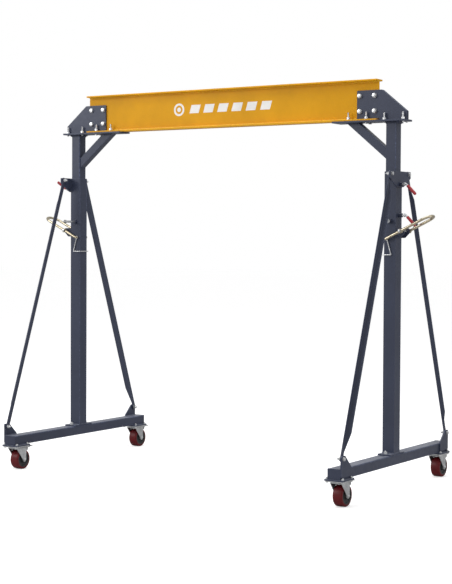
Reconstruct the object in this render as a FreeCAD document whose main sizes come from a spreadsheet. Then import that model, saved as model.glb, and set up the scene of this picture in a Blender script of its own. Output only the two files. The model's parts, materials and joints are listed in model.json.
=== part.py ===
import FreeCAD, Part
import math
import os

import Sketcher
from FreeCAD import Placement, Rotation, Vector

# Portable gantry crane: two A-shaped side frames on four braked casters, telescopic
# columns and a steel beam on top.  Millimetres.  X runs along the beam, Y along the
# base tubes, Z up, with the floor at z = 0.

DIMENSIONS = {
    # overall
    "beam_length": 2140.0,
    "column_offset": 95.0,
    "beam_height": 240.0,
    "flange_width": 78.0,
    "flange_thick": 10.0,
    "web_thick": 7.0,
    "base_length": 1360.0,
    "base_overhang": 2.5,
    "base_height": 60.0,
    "swivel_stack": 35.0,
    "tube_wall": 4.0,
    "outer_side": 75.0,
    "outer_top": 1862.0,
    "slide_gap": 0.5,
    "inner_bottom": 520.0,
    "column_reach": 278.0,
    # plates
    "cap_thick": 4.0,
    "foot_thick": 8.0,
    "foot_length": 185.0,
    "foot_width": 85.0,
    "stop_thick": 8.0,
    "pad_width": 120.0,
    "pad_length": 140.0,
    "pad_thick": 8.0,
    "lug_thick": 8.0,
    "lug_height": 72.0,
    "wing_thick": 8.0,
    "wing_half": 135.0,
    "wing_depth": 90.0,
    "wing_tip": 38.0,
    "head_thick": 10.0,
    "head_half": 58.0,
    "head_inboard": 348.0,
    "head_outboard": 58.0,
    "seat_thick": 10.0,
    "gusset_thick": 9.0,
    "gusset_rise": 178.0,
    "knee_side": 50.0,
    "knee_run": 264.0,
    "knee_rise": 218.0,
    # braces
    "angle_side": 30.0,
    "angle_thick": 4.0,
    "brace_low_inset": 20.0,
    "brace_low_rise": 55.0,
    "brace_high_inset": 25.0,
    "brace_high_drop": 16.0,
    # casters
    "caster_inset": 58.0,
    "caster_trail": 36.0,
    "wheel_diameter": 125.0,
    "wheel_width": 60.0,
    "tread_depth": 14.0,
    "top_plate_length": 130.0,
    "top_plate_width": 115.0,
    "top_plate_thick": 6.0,
    "axle_diameter": 12.0,
    # pins and levers
    "pin_upper_drop": 74.0,
    "pin_lower_drop": 254.0,
    "cross_pin_drop": 287.0,
    "pin_diameter": 12.0,
    "cross_pin_diameter": 14.0,
    "hole_pitch": 90.0,
    "lever_bar": 16.0,
    "lever_gap": 18.5,
    "lever_reach": 38.5,
    "lever_drop": 345.0,
}


class Size:
    """A number together with the spreadsheet expression that gives it."""

    def __init__(self, value, text):
        self.value = float(value)
        self.text = text

    def _with(self, sign, other, swap=False):
        other = other if isinstance(other, Size) else Size(other, "(%.6g)" % other)
        first, second = (other, self) if swap else (self, other)
        results = {
            "+": first.value + second.value,
            "-": first.value - second.value,
            "*": first.value * second.value,
            "/": first.value / second.value if second.value else 0.0,
        }
        return Size(results[sign], "(%s %s %s)" % (first.text, sign, second.text))

    def __add__(self, other):
        return self._with("+", other)

    def __radd__(self, other):
        return self._with("+", other, True)

    def __sub__(self, other):
        return self._with("-", other)

    def __rsub__(self, other):
        return self._with("-", other, True)

    def __mul__(self, other):
        return self._with("*", other)

    def __rmul__(self, other):
        return self._with("*", other, True)

    def __truediv__(self, other):
        return self._with("/", other)

    def __neg__(self):
        return self._with("*", -1)

    def root(self):
        return Size(math.sqrt(self.value), "sqrt(%s)" % self.text)


def size(value):
    return value if isinstance(value, Size) else Size(value, "(%.6g)" % value)


def number(value):
    return value.value if isinstance(value, Size) else float(value)


doc = FreeCAD.newDocument("GantryCrane")
sheet = doc.addObject("Spreadsheet::Sheet", "Sizes")
for row, (alias, amount) in enumerate(DIMENSIONS.items(), start=1):
    sheet.set("A%d" % row, alias.replace("_", " "))
    sheet.set("B%d" % row, "%.6g" % amount)
    sheet.setAlias("B%d" % row, alias)
doc.recompute()
D = {alias: Size(amount, "Sizes." + alias) for alias, amount in DIMENSIONS.items()}
NODES = []

# ------------------------------------------------------------------ building blocks


def bind(obj, name, value):
    """Set a property through an expression on the spreadsheet."""
    value = size(value)
    obj.setExpression(name, value.text)


def place(obj, x=0, y=0, z=0, turn=None):
    obj.Placement = Placement(Vector(number(x), number(y), number(z)), turn or Rotation())
    for axis, value in (("x", x), ("y", y), ("z", z)):
        if isinstance(value, Size):
            bind(obj, "Placement.Base." + axis, value)


def block(name, low, extent):
    """Rectangular bar from its lowest corner and its three lengths."""
    obj = doc.addObject("Part::Box", name)
    for prop, value in zip(("Length", "Width", "Height"), extent):
        bind(obj, prop, value)
    place(obj, *low)
    return obj


AXIS_TURN = {
    "x": Rotation(Vector(0, 1, 0), 90),
    "y": Rotation(Vector(1, 0, 0), -90),
    "z": Rotation(),
}


def rod(name, start, axis, diameter, length, turn=None):
    """Round bar that grows from start along +x, +y or +z, or along a given turn."""
    obj = doc.addObject("Part::Cylinder", name)
    bind(obj, "Radius", size(diameter) / 2)
    bind(obj, "Height", length)
    place(obj, *start, turn=turn or AXIS_TURN[axis])
    return obj


def rod_between(name, start, end, diameter):
    """Round bar between two points."""
    a = Vector(*[number(v) for v in start])
    b = Vector(*[number(v) for v in end])
    turn = Rotation(Vector(0, 0, 1), b - a)
    return rod(name, start, None, diameter, (b - a).Length, turn)


def cone(name, start, axis, first, second, length):
    obj = doc.addObject("Part::Cone", name)
    bind(obj, "Radius1", size(first) / 2)
    bind(obj, "Radius2", size(second) / 2)
    bind(obj, "Height", length)
    place(obj, *start, turn=AXIS_TURN[axis])
    return obj


def ball(name, centre, diameter):
    obj = doc.addObject("Part::Sphere", name)
    bind(obj, "Radius", size(diameter) / 2)
    place(obj, *centre)
    return obj


def hexagon(name, start, axis, across_flats, length):
    """Hexagonal nut or bolt head."""
    obj = doc.addObject("Part::Prism", name)
    obj.Polygon = 6
    bind(obj, "Circumradius", size(across_flats) / 1.7320508)
    bind(obj, "Height", length)
    place(obj, *start, turn=AXIS_TURN[axis])
    return obj


def cut(name, base, *tools):
    obj = doc.addObject("Part::Cut", name)
    obj.Base = base
    obj.Tool = tools[0] if len(tools) == 1 else fuse(name + "_tools", *tools)
    return obj


def fuse(name, *parts):
    if len(parts) == 1:
        return parts[0]
    obj = doc.addObject("Part::MultiFuse", name)
    obj.Shapes = list(parts)
    return obj


def group(name, *parts):
    """Several separate solids kept together as one sub-part."""
    obj = doc.addObject("Part::Compound", name)
    obj.Links = list(parts)
    return obj


def node(label, obj):
    obj.Label = label
    NODES.append((label, obj))
    return obj


ORIGIN_PLANE = {"xy": "XY_Plane", "xz": "XZ_Plane", "yz": "YZ_Plane"}


def new_sketch(body, plane, name, offset=0):
    sketch = body.newObject("Sketcher::SketchObject", name)
    for item in body.Origin.OriginFeatures:
        if item.Role == ORIGIN_PLANE[plane]:
            sketch.AttachmentSupport = [(item, "")]
    sketch.MapMode = "FlatFace"
    if isinstance(offset, Size):
        bind(sketch, "AttachmentOffset.Base.z", offset)
    elif offset:
        sketch.AttachmentOffset = Placement(Vector(0, 0, offset), Rotation())
    return sketch


def add_outline(sketch, points):
    """Closed outline whose corners are all held by bound distances."""
    first = sketch.GeometryCount
    count = len(points)
    corners = [Vector(number(u), number(v), 0) for u, v in points]
    for i in range(count):
        sketch.addGeometry(Part.LineSegment(corners[i], corners[(i + 1) % count]), False)
    for i in range(count):
        following = first + (i + 1) % count
        sketch.addConstraint(Sketcher.Constraint("Coincident", first + i, 2, following, 1))
    for i, (u, v) in enumerate(points):
        for kind, value in (("DistanceX", u), ("DistanceY", v)):
            rule = Sketcher.Constraint(kind, -1, 1, first + i, 1, number(value))
            index = sketch.addConstraint(rule)
            if isinstance(value, Size):
                sketch.setExpression("Constraints[%d]" % index, value.text)


def add_circle(sketch, u, v, diameter):
    radius = size(diameter) / 2
    centre = Vector(number(u), number(v), 0)
    ring = sketch.addGeometry(Part.Circle(centre, Vector(0, 0, 1), radius.value), False)
    rules = (
        (Sketcher.Constraint("DistanceX", -1, 1, ring, 3, number(u)), u),
        (Sketcher.Constraint("DistanceY", -1, 1, ring, 3, number(v)), v),
        (Sketcher.Constraint("Radius", ring, radius.value), radius),
    )
    for rule, value in rules:
        index = sketch.addConstraint(rule)
        if isinstance(value, Size):
            sketch.setExpression("Constraints[%d]" % index, value.text)


def pad(body, sketch, length, both_ways=False, backwards=False):
    feature = body.newObject("PartDesign::Pad", sketch.Name + "_pad")
    feature.Profile = sketch
    feature.Midplane = both_ways
    feature.Reversed = backwards
    bind(feature, "Length", length)
    sketch.Visibility = False
    body.Tip = feature
    return feature


def pocket(body, sketch, length, backwards=False, both_ways=False):
    feature = body.newObject("PartDesign::Pocket", sketch.Name + "_pocket")
    feature.Profile = sketch
    feature.Midplane = both_ways
    feature.Reversed = backwards
    bind(feature, "Length", length)
    sketch.Visibility = False
    body.Tip = feature
    return feature


def hole_row(body, feature, sketch, direction, count, pitch, name):
    """Repeat one cut feature along a sketch axis."""
    row_feature = body.newObject("PartDesign::LinearPattern", name)
    row_feature.Originals = [feature]
    row_feature.Direction = (sketch, [direction])
    row_feature.Occurrences = count
    bind(row_feature, "Length", size(pitch) * (count - 1))
    body.Tip = row_feature
    return row_feature


def rectangle(u_low, v_low, u_high, v_high):
    return [(u_low, v_low), (u_high, v_low), (u_high, v_high), (u_low, v_high)]


def plate(name, plane, outline, thickness, offset=0, holes=(), backwards=False):
    """Flat plate: an outline padded once, then round holes cut through it."""
    body = doc.addObject("PartDesign::Body", name)
    sketch = new_sketch(body, plane, name + "_outline", offset)
    add_outline(sketch, outline)
    pad(body, sketch, thickness, backwards=backwards)
    if holes:
        cuts = new_sketch(body, plane, name + "_holes", offset)
        for u, v, diameter in holes:
            add_circle(cuts, u, v, diameter)
        pocket(body, cuts, size(thickness) + 1, backwards=not backwards)
    return body


def across(sign, near, far):
    """Low edge and length in X of a span measured outward from a column centre."""
    centre = HALF * sign
    low = centre + (size(near) if sign > 0 else -size(far))
    return low, size(far) - near


def hex_bolt(name, start, axis, diameter, grip, flats, head, nut, tail, facing=1, washer=2.0):
    """Hex bolt through a grip that begins at start, with washers and a nut.

    Facing 1 puts the head on the low side of the grip, -1 on the high side.
    """
    index = "xyz".index(axis)
    grip = size(grip)

    def low(shift, length):
        """Start of a piece that lies shift..shift+length beyond the head-side face."""
        point = list(start)
        along = size(shift) if facing > 0 else grip - shift - length
        point[index] = point[index] + along
        return point

    total = grip + (2 * washer + nut + tail)
    pieces = [
        rod(name + "_shank", low(-washer, total), axis, diameter, total),
        hexagon(name + "_head", low(-washer - head, head), axis, flats, head),
        rod(name + "_washer", low(-washer, washer), axis, flats * 1.15, washer),
        rod(name + "_nut_washer", low(grip, washer), axis, flats * 1.15, washer),
        hexagon(name + "_nut", low(grip + washer, nut), axis, flats, nut),
    ]
    return fuse(name, *pieces)


# ---------------------------------------------------- sizes that follow from the sheet
HALF = D["beam_length"] / 2 + D["column_offset"]
WALL = D["tube_wall"]
OUTER = D["outer_side"]
INNER = OUTER - (WALL + D["slide_gap"]) * 2
OUTER_TOP = D["outer_top"]
INNER_TOP = OUTER_TOP + D["column_reach"]
BASE_WIDTH = OUTER + D["base_overhang"] * 2
BASE_BOTTOM = D["wheel_diameter"] + D["swivel_stack"]
BASE_TOP = BASE_BOTTOM + D["base_height"]
BASE_HALF = D["base_length"] / 2
END = BASE_HALF + D["cap_thick"]
FOOT_TOP = BASE_TOP + D["foot_thick"]
PAD_BOTTOM = BASE_BOTTOM - D["pad_thick"]
TOP_PLATE_BOTTOM = PAD_BOTTOM - D["top_plate_thick"]
HEAD_BOTTOM = INNER_TOP + D["seat_thick"]
BEAM_BOTTOM = HEAD_BOTTOM + D["head_thick"]
BEAM_TOP = BEAM_BOTTOM + D["beam_height"]
# brace bolts
BRACE_LOW_Y = END - D["brace_low_inset"]
BRACE_LOW_Z = BASE_TOP + D["brace_low_rise"]
BRACE_HIGH_Y = D["wing_half"] - D["brace_high_inset"]
BRACE_HIGH_Z = OUTER_TOP - D["brace_high_drop"]
BRACE_FACE = OUTER / 2
# casters
CASTER_Y = BASE_HALF - D["caster_inset"]
WHEEL_R = D["wheel_diameter"] / 2
CORE_DIAMETER = D["wheel_diameter"] - D["tread_depth"] * 2
# pins and levers
PIN_UPPER_Z = OUTER_TOP - D["pin_upper_drop"]
PIN_LOWER_Z = OUTER_TOP - D["pin_lower_drop"]
CROSS_PIN_Z = OUTER_TOP - D["cross_pin_drop"]
LEVER_HALF = OUTER / 2 + D["lever_gap"]
LEVER_OUT = OUTER / 2 + D["lever_reach"]
LEVER_Z = OUTER_TOP - D["lever_drop"]
# hardware
BOLT = 12.0
BOLT_HOLE = 13.0
FOOT_BOLT_Y = 70.0
CASTER_BOLT_X = 49.0
CASTER_BOLT_Y = 50.0
PEDAL_REACH = 122.0
ORIGIN_SHIFT = (D["pad_length"] / 2 - PEDAL_REACH) / 2
PIN_ROWS = 14
CROSS_ROWS = 12
SIDES = (("left", -1), ("right", 1))


# ------------------------------------------------------------------------ side frame
def base_beam(side, sign):
    name = side + "_base_beam"
    body = doc.addObject("PartDesign::Body", name)
    section = new_sketch(body, "xz", name + "_section")
    centre = HALF * sign
    for trim in (size(0.0), WALL):
        half_u = BASE_WIDTH / 2 - trim
        add_outline(section, rectangle(
            centre - half_u, BASE_BOTTOM + trim, centre + half_u, BASE_TOP - trim))
    pad(body, section, D["base_length"], both_ways=True)
    drilled = new_sketch(body, "xy", name + "_foot_holes", BASE_TOP)
    for y in (-FOOT_BOLT_Y, FOOT_BOLT_Y):
        add_circle(drilled, centre, y, BOLT_HOLE)
    pocket(body, drilled, WALL + 1)
    node(name, body)


def base_plates(side, sign):
    name = side + "_base_plates"
    centre = HALF * sign
    pieces = []
    for tag, y_sign in (("near", -1), ("far", 1)):
        y_low = BASE_HALF * y_sign if y_sign > 0 else -END
        pieces.append(block(
            "%s_%s_end_cap" % (side, tag),
            (centre - BASE_WIDTH / 2, y_low, BASE_BOTTOM),
            (BASE_WIDTH, D["cap_thick"], D["base_height"])))
        caster_y = CASTER_Y * y_sign
        half_x = D["pad_width"] / 2
        half_y = D["pad_length"] / 2
        holes = [
            (centre + CASTER_BOLT_X * i, caster_y + CASTER_BOLT_Y * j, BOLT_HOLE)
            for i in (-1, 1) for j in (-1, 1)]
        pieces.append(plate(
            "%s_%s_caster_pad" % (side, tag), "xy",
            rectangle(centre - half_x, caster_y - half_y, centre + half_x, caster_y + half_y),
            D["pad_thick"], PAD_BOTTOM, holes))
        x_low = across(sign, BASE_WIDTH / 2, BASE_WIDTH / 2 + D["lug_thick"])[0]
        lug_top = BASE_TOP + D["lug_height"]
        outline = [
            (END * y_sign, BASE_BOTTOM + 12),
            (END * y_sign, lug_top),
            ((END - 42) * y_sign, lug_top),
            ((END - 112) * y_sign, BASE_TOP + 4),
            ((END - 112) * y_sign, BASE_BOTTOM + 12)]
        pieces.append(plate(
            "%s_%s_brace_lug" % (side, tag), "yz", outline, D["lug_thick"], x_low,
            [(BRACE_LOW_Y * y_sign, BRACE_LOW_Z, BOLT_HOLE)]))
    node(name, group(name, *pieces))


def outer_column(side, sign):
    name = side + "_outer_column"
    centre = HALF * sign
    half_x = D["foot_width"] / 2
    half_y = D["foot_length"] / 2
    foot = plate(
        name + "_foot", "xy", rectangle(centre - half_x, -half_y, centre + half_x, half_y),
        D["foot_thick"], BASE_TOP, [(centre, y, BOLT_HOLE) for y in (-FOOT_BOLT_Y, FOOT_BOLT_Y)])
    body = doc.addObject("PartDesign::Body", name + "_tube")
    half = OUTER / 2
    bore = half - WALL
    wall = new_sketch(body, "xy", name + "_wall", FOOT_TOP)
    add_outline(wall, rectangle(centre - half, -half, centre + half, half))
    add_outline(wall, rectangle(centre - bore, -bore, centre + bore, bore))
    pad(body, wall, OUTER_TOP - FOOT_TOP)
    stop = new_sketch(body, "xy", name + "_stop", D["inner_bottom"] - D["stop_thick"])
    add_outline(stop, rectangle(centre - bore, -bore, centre + bore, bore))
    pad(body, stop, D["stop_thick"])
    heights = [PIN_UPPER_Z]
    if sign > 0:
        heights.append(PIN_LOWER_Z)
    outward = across(sign, bore - 1, half + 1)[0]
    spring_holes = new_sketch(body, "yz", name + "_pin_holes", outward)
    for z in heights:
        add_circle(spring_holes, 0, z, D["pin_diameter"] + 0.6)
    pocket(body, spring_holes, WALL + 2, backwards=True)
    cross_hole = new_sketch(body, "xz", name + "_cross_hole")
    add_circle(cross_hole, centre, CROSS_PIN_Z, D["cross_pin_diameter"] + 0.6)
    pocket(body, cross_hole, OUTER + 4, both_ways=True)
    node(name, group(name, foot, body))


def column_wings(side, sign):
    name = side + "_column_wings"
    low = across(sign, OUTER / 2, OUTER / 2 + D["wing_thick"])[0]
    half = OUTER / 2
    top = OUTER_TOP
    tip = top - D["wing_tip"]
    bottom = top - D["wing_depth"]
    wing = D["wing_half"]
    outline = [(-wing, top), (-wing, tip), (-half - 8, bottom), (half + 8, bottom),
               (wing, tip), (wing, top)]
    holes = [(0, PIN_UPPER_Z, D["pin_diameter"] + 0.6)]
    for y_sign in (-1, 1):
        holes.append((BRACE_HIGH_Y * y_sign, BRACE_HIGH_Z, BOLT_HOLE))
    node(name, plate(name, "yz", outline, D["wing_thick"], low, holes))


def brace(side, sign, tag, y_sign):
    """Angle iron strut, bolted on the inner side of the lug and of the wing plate."""
    name = "%s_%s_brace" % (side, tag)
    low_y = BRACE_LOW_Y.value * y_sign
    rise = BRACE_HIGH_Z.value - BRACE_LOW_Z.value
    run = BRACE_HIGH_Y.value * y_sign - low_y
    length = math.hypot(run, rise)
    lean = math.degrees(math.atan2(-run, rise))
    side_size = D["angle_side"]
    thick = D["angle_thick"]
    half = side_size / 2
    past_bolt = 16.0
    notch = 40.0
    taper = 110.0
    # the flat leg lies against lug and wing, the standing leg points outward beside the column
    flat_low = across(sign, BRACE_FACE - thick, BRACE_FACE)[0]
    stand_low = across(sign, BRACE_FACE, BRACE_FACE - thick + side_size)[0]
    stand_y = -half if y_sign > 0 else half - thick
    stand_high = stand_low + (side_size - thick)
    root, rim = (stand_low, stand_high) if sign > 0 else (stand_high, stand_low)
    flat = block(
        name + "_flat", (flat_low, -half, -past_bolt),
        (thick, side_size, length + 2 * past_bolt))
    # its ends are cut to a slope and leave the bolted ends flat
    stand = plate(
        name + "_stand", "xz",
        [(root, notch), (rim, notch + taper), (rim, length - notch - taper),
         (root, length - notch)],
        thick, -stand_y - thick)
    drills = [
        rod("%s_drill_%d" % (name, i), (flat_low - 1, 0, z), "x", BOLT_HOLE, thick + 2)
        for i, z in enumerate((0.0, length))]
    strut = cut(name + "_cut", fuse(name + "_leg", flat, stand), *drills)
    leaning = group(name, strut)
    leaning.Placement = Placement(
        Vector(0, low_y, BRACE_LOW_Z.value), Rotation(Vector(1, 0, 0), lean))
    node(name, leaning)


def column_brackets(side, sign):
    """Lever lugs, the lock pin guide sleeves and the cross pin boss."""
    name = side + "_column_brackets"
    pieces = []
    half = OUTER / 2
    pivot = LEVER_OUT
    low = LEVER_Z - 34
    high = LEVER_Z + 16
    reach = pivot + 14
    centre = HALF * sign

    def u(out):
        return centre + size(out) * sign

    outline = [
        (u(half), low - 6), (u(half + 26), low - 6), (u(reach), LEVER_Z - 14),
        (u(reach), high), (u(half), high)]
    lug = 6.0
    outer_face = half - 3.5
    for tag, depth in (("near", outer_face - lug), ("far", -outer_face)):
        pieces.append(plate(
            "%s_%s_lever_lug" % (side, tag), "xz", outline, lug, depth,
            [(u(pivot), LEVER_Z, 10.6)]))
    heights = [("upper", PIN_UPPER_Z, half + D["wing_thick"])]
    if sign > 0:
        heights.append(("lower", PIN_LOWER_Z, half))
    for tag, z, start in heights:
        length = half + 22 - start
        x_low = across(sign, start, half + 22)[0]
        sleeve = rod("%s_%s_sleeve_body" % (side, tag), (x_low, 0, z), "x", 24.0, length)
        bore = rod("%s_%s_sleeve_bore" % (side, tag), (x_low - 1, 0, z), "x",
                   D["pin_diameter"] + 0.6, length + 2)
        pieces.append(cut("%s_%s_sleeve" % (side, tag), sleeve, bore))
    boss = rod(side + "_cross_boss_body", (centre, -half - 10, CROSS_PIN_Z), "y", 26.0, 10.0)
    bore = rod(side + "_cross_boss_bore", (centre, -half - 11, CROSS_PIN_Z), "y",
               D["cross_pin_diameter"] + 0.6, 12.0)
    pieces.append(cut(side + "_cross_boss", boss, bore))
    node(name, group(name, *pieces))


def caster_tops(side, sign):
    """Bolted top plates with the fixed half of each swivel race and its kingpin."""
    name = side + "_caster_tops"
    centre = HALF * sign
    pieces = []
    for tag, y_sign in (("near", -1), ("far", 1)):
        y = CASTER_Y * y_sign
        part = "%s_%s_" % (side, tag)
        half_x = D["top_plate_width"] / 2
        half_y = D["top_plate_length"] / 2
        holes = [
            (centre + CASTER_BOLT_X * i, y + CASTER_BOLT_Y * j, BOLT_HOLE)
            for i in (-1, 1) for j in (-1, 1)]
        pieces.append(plate(
            part + "top_plate", "xy",
            rectangle(centre - half_x, y - half_y, centre + half_x, y + half_y),
            D["top_plate_thick"], TOP_PLATE_BOTTOM, holes))
        race = cone(part + "race", (centre, y, TOP_PLATE_BOTTOM - 7), "z", 70.0, 80.0, 7.0)
        kingpin = rod(part + "kingpin", (centre, y, TOP_PLATE_BOTTOM - 20), "z", 14.0, 20.0)
        nut = hexagon(part + "kingpin_nut", (centre, y, TOP_PLATE_BOTTOM - 18), "z", 22.0, 5.0)
        pieces.append(fuse(part + "swivel_race", race, kingpin, nut))
    node(name, group(name, *pieces))


def frame_bolts(side, sign):
    name = side + "_frame_bolts"
    centre = HALF * sign
    pieces = []
    for tag, y in (("near", -FOOT_BOLT_Y), ("far", FOOT_BOLT_Y)):
        part = "%s_%s_foot_stud" % (side, tag)
        shank = rod(part + "_shank", (centre, y, BASE_TOP - WALL - 12), "z", BOLT, 41.0)
        nut = hexagon(part + "_nut", (centre, y, FOOT_TOP + 2), "z", 19.0, 11.0)
        washer = rod(part + "_washer", (centre, y, FOOT_TOP), "z", 24.0, 2.0)
        weld_nut = hexagon(part + "_weld_nut", (centre, y, BASE_TOP - WALL - 10), "z", 19.0, 10.0)
        pieces.append(fuse(part, shank, nut, washer, weld_nut))
    for tag, y_sign in (("near", -1), ("far", 1)):
        for i in (-1, 1):
            for j in (-1, 1):
                part = "%s_%s_caster_bolt_%d%d" % (side, tag, i + 1, j + 1)
                pieces.append(hex_bolt(
                    part,
                    [centre + CASTER_BOLT_X * i, CASTER_Y * y_sign + CASTER_BOLT_Y * j,
                     TOP_PLATE_BOTTOM],
                    "z", 10.0, D["top_plate_thick"] + D["pad_thick"], 15.0, 5.0, 7.0, 3.0,
                    washer=1.0))
    spots = (
        ("foot", BRACE_LOW_Y, BRACE_LOW_Z, BASE_WIDTH / 2, D["lug_thick"]),
        ("wing", BRACE_HIGH_Y, BRACE_HIGH_Z, OUTER / 2, D["wing_thick"]))
    for where, y, z, inner_face, thick in spots:
        for tag, y_sign in (("near", -1), ("far", 1)):
            low, grip = across(sign, BRACE_FACE - D["angle_thick"], inner_face + thick)
            bolt = hex_bolt(
                "%s_%s_%s_bolt_plain" % (side, tag, where), [low, y * y_sign, z],
                "x", BOLT, grip, 19.0, 8.0, 10.0, 12.0, facing=-sign)
            if where == "foot":
                gap_low, gap = across(sign, BRACE_FACE, inner_face)
                spacer = rod("%s_%s_spacer" % (side, tag), (gap_low, y * y_sign, z), "x", 24.0, gap)
                bolt = fuse("%s_%s_%s_bolt" % (side, tag, where), bolt, spacer)
            pieces.append(bolt)
    pivot_x = centre + LEVER_OUT * sign
    reach = LEVER_HALF + D["lever_bar"] / 2 + 3
    pieces.append(fuse(
        side + "_lever_pivot",
        rod(side + "_lever_pivot_rod", (pivot_x, -reach, LEVER_Z), "y", 10.0, reach * 2),
        hexagon(side + "_lever_pivot_head", (pivot_x, -reach - 6, LEVER_Z), "y", 16.0, 6.0),
        hexagon(side + "_lever_pivot_nut", (pivot_x, reach, LEVER_Z), "y", 16.0, 8.0)))
    node(name, group(name, *pieces))


# ------------------------------------------------------------------------- top frame
# web bolts, as distance inboard of the column centre and height over the beam's underside
GUSSET_BOLTS = ((215.0, 146.0), (215.0, 56.0), (118.0, 146.0), (118.0, 56.0))
# head plate studs, inboard of the column centre
STUD_STATIONS = (INNER / 2 + 252, INNER / 2 + 134, INNER / 2 + 16, -(INNER / 2 + 38))
STUD_Y = 25.0
STUD_REACH = 42.0


def inboard(sign, distance):
    """X of a point that lies this far from the column centre towards mid-span."""
    return (HALF - distance) * sign


def top_beam():
    body = doc.addObject("PartDesign::Body", "beam")
    section = new_sketch(body, "yz", "beam_section", -D["beam_length"] / 2)
    half = D["flange_width"] / 2
    web = D["web_thick"] / 2
    low = BEAM_BOTTOM
    high = BEAM_TOP
    thick = D["flange_thick"]
    add_outline(section, [
        (-half, low), (half, low), (half, low + thick), (web, low + thick),
        (web, high - thick), (half, high - thick), (half, high), (-half, high),
        (-half, high - thick), (-web, high - thick), (-web, low + thick), (-half, low + thick)])
    pad(body, section, D["beam_length"])
    web_holes = new_sketch(body, "xz", "beam_web_holes")
    for sign in (-1, 1):
        for station, z in GUSSET_BOLTS:
            add_circle(web_holes, inboard(sign, station), BEAM_BOTTOM + z, 17.0)
    pocket(body, web_holes, D["web_thick"] + 2, both_ways=True)
    flange_holes = new_sketch(body, "xy", "beam_flange_holes", BEAM_BOTTOM + thick)
    for sign in (-1, 1):
        for station in STUD_STATIONS[:2]:
            for y in (-STUD_Y, STUD_Y):
                add_circle(flange_holes, inboard(sign, station), y, BOLT_HOLE)
    pocket(body, flange_holes, thick + 1)
    node("beam", body)


def inner_column(side, sign):
    name = side + "_inner_column"
    body = doc.addObject("PartDesign::Body", name)
    centre = HALF * sign
    section = new_sketch(body, "xy", name + "_section", D["inner_bottom"])
    half = INNER / 2
    bore = half - WALL
    add_outline(section, rectangle(centre - half, -half, centre + half, half))
    add_outline(section, rectangle(centre - bore, -bore, centre + bore, bore))
    pad(body, section, INNER_TOP - D["inner_bottom"])
    pitch = D["hole_pitch"]
    outward = across(sign, bore - 1, half + 1)[0]
    pin_hole = new_sketch(body, "yz", name + "_pin_hole", outward)
    add_circle(pin_hole, 0, PIN_UPPER_Z - pitch * (PIN_ROWS - 1), D["pin_diameter"] + 0.6)
    first = pocket(body, pin_hole, WALL + 2, backwards=True)
    hole_row(body, first, pin_hole, "V_Axis", PIN_ROWS, pitch, name + "_pin_row")
    cross_hole = new_sketch(body, "xz", name + "_cross_hole")
    add_circle(cross_hole, centre, CROSS_PIN_Z - pitch * (CROSS_ROWS - 1), D["cross_pin_diameter"] + 0.6)
    second = pocket(body, cross_hole, INNER + 4, both_ways=True)
    hole_row(body, second, cross_hole, "V_Axis", CROSS_ROWS, pitch, name + "_cross_row")
    node(name, body)


def head_plate(side, sign):
    name = side + "_head_plate"
    inner_end = HALF - INNER / 2 - D["head_inboard"]
    outer_end = HALF + INNER / 2 + D["head_outboard"]
    low = inner_end if sign > 0 else -outer_end
    half = D["head_half"]
    holes = [
        (inboard(sign, station), y, BOLT_HOLE)
        for station in STUD_STATIONS for y in (-STUD_Y, STUD_Y)]
    head = plate(
        side + "_head_slab", "xy", rectangle(low, -half, low + (outer_end - inner_end), half),
        D["head_thick"], HEAD_BOTTOM, holes)
    centre = HALF * sign
    half_x = OUTER / 2 + 9.5
    half_y = INNER / 2 + 1
    seat = block(
        side + "_column_seat", (centre - half_x, -half_y, INNER_TOP),
        (half_x * 2, half_y * 2, D["seat_thick"]))
    # room for the heads of the studs next to the column
    notches = [
        rod("%s_seat_notch_%s" % (side, tag),
            (inboard(sign, STUD_STATIONS[2]), size(y), INNER_TOP - 1), "z", 30.0,
            D["seat_thick"] + 2)
        for tag, y in (("near", -STUD_Y), ("far", STUD_Y))]
    node(name, group(name, head, cut(side + "_seat_cut", seat, *notches)))


def gussets(side, sign):
    """Two bolted side plates that carry the beam end over the head plate."""
    name = side + "_gussets"
    rise = D["gusset_rise"]
    outline = [(235, 12), (235, rise), (71, rise), (-89, 48), (-89, 0), (89, 0), (89, 12)]
    points = [(inboard(sign, station), BEAM_BOTTOM + z) for station, z in outline]
    holes = [(inboard(sign, station), BEAM_BOTTOM + z, 17.0) for station, z in GUSSET_BOLTS]
    web = D["web_thick"] / 2
    thick = D["gusset_thick"]
    pieces = [
        plate(side + "_gusset_near", "xz", points, thick, web, holes),
        plate(side + "_gusset_far", "xz", points, thick, -web - thick, holes)]
    node(name, group(name, *pieces))


def knee_brace(side, sign):
    """Slanted square tube from the head plate to the inner face of the column."""
    name = side + "_knee_brace"
    body = doc.addObject("PartDesign::Body", name)
    wall_x = HALF - INNER / 2
    top = HEAD_BOTTOM
    run = D["knee_run"]
    rise = D["knee_rise"]
    slant = (run * run + rise * rise).root()

    def corners(trim):
        """Slanted strip whose two long edges are moved inward by trim."""
        along_top = slant / rise
        down_wall = slant / run
        return [
            ((wall_x - run + along_top * trim) * sign, top),
            ((wall_x - run + along_top * (D["knee_side"] - trim)) * sign, top),
            (wall_x * sign, top - rise + down_wall * (D["knee_side"] - trim)),
            (wall_x * sign, top - rise + down_wall * trim)]

    profile = new_sketch(body, "xz", name + "_profile")
    add_outline(profile, corners(size(0.0)))
    pad(body, profile, D["knee_side"], both_ways=True)
    hollow = new_sketch(body, "xz", name + "_hollow")
    add_outline(hollow, corners(WALL))
    pocket(body, hollow, D["knee_side"] - WALL * 2, both_ways=True)
    node(name, body)


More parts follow.
